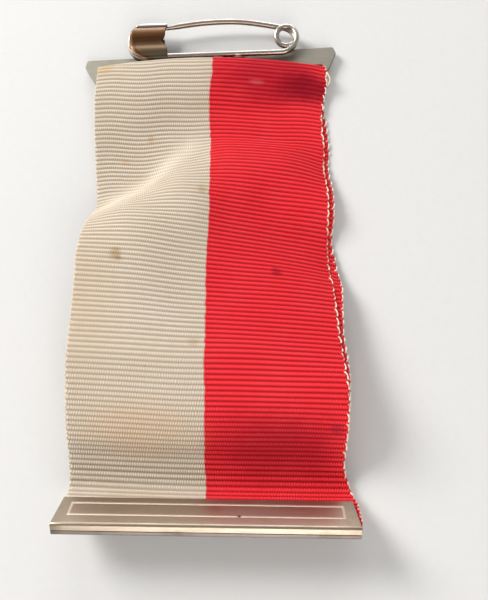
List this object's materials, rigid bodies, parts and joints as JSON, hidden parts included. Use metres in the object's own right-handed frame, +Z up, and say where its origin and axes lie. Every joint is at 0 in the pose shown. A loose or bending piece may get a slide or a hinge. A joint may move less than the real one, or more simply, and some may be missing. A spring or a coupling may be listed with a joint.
{
  "type": "medal ribbon with pin bar",
  "caption": "Two-colour grosgrain medal ribbon, doubled over the rail of a slotted top bar with a safety pin on it, and clamped in a tapered lower bar with a raised frame.",
  "frame": {"origin": "on the surface the object lies on, under the middle of the rail that carries the ribbon", "axes": "+X across the ribbon to its red half, +Y along it to the top bar, +Z up out of the side that carries the pin"},
  "size_m": [0.0425, 0.084, 0.0082],
  "materials": {
    "ribbon": "ribbed grosgrain, one half off-white and the other half red",
    "top_plate": "satin nickel plate",
    "pin_wire": "bright drawn wire",
    "pin_cap": "bright pressed sheet",
    "solder": "bright solder",
    "lower_bar": "satin nickel plate, polished along the near edge"
  },
  "bodies": {
    "ribbon": {"ribbon_front_layer": "ribbon", "ribbon_back_layer": "ribbon"},
    "top_bar": {"top_bar_plate": "top_plate", "ribbon_top_loop": "ribbon", "pin_leg": "pin_wire", "pin_coil": "pin_wire", "pin_cap": "pin_cap", "solder_joints": "solder"},
    "pin_arm": {"pin_arm": "pin_wire"},
    "lower_bar": {"lower_bar_face": "lower_bar", "lower_bar_back": "lower_bar", "ribbon_tail": "ribbon"}
  },
  "joints": [
    {"name": "top_bar_swing", "type": "hinge", "parent": "ribbon", "child": "top_bar", "pos_m": [0.00032, -0.00389, 0.0005], "axis": [0.9983, 0.0576, 0], "range_deg": [-60, 60], "stiffness_Nm_per_rad": 0.0015},
    {"name": "lower_bar_swing", "type": "hinge", "parent": "ribbon", "child": "lower_bar", "pos_m": [0.00001, -0.06663, 0.00201], "axis": [0.9997, -0.0244, 0], "range_deg": [-60, 60], "stiffness_Nm_per_rad": 0.0015},
    {"name": "pin_arm_open", "type": "hinge", "parent": "top_bar", "child": "pin_arm", "pos_m": [0.01225, 0.01083, 0.0021], "axis": [0.0287, -0.8655, -0.5], "range_deg": [0, 40]}
  ]
}
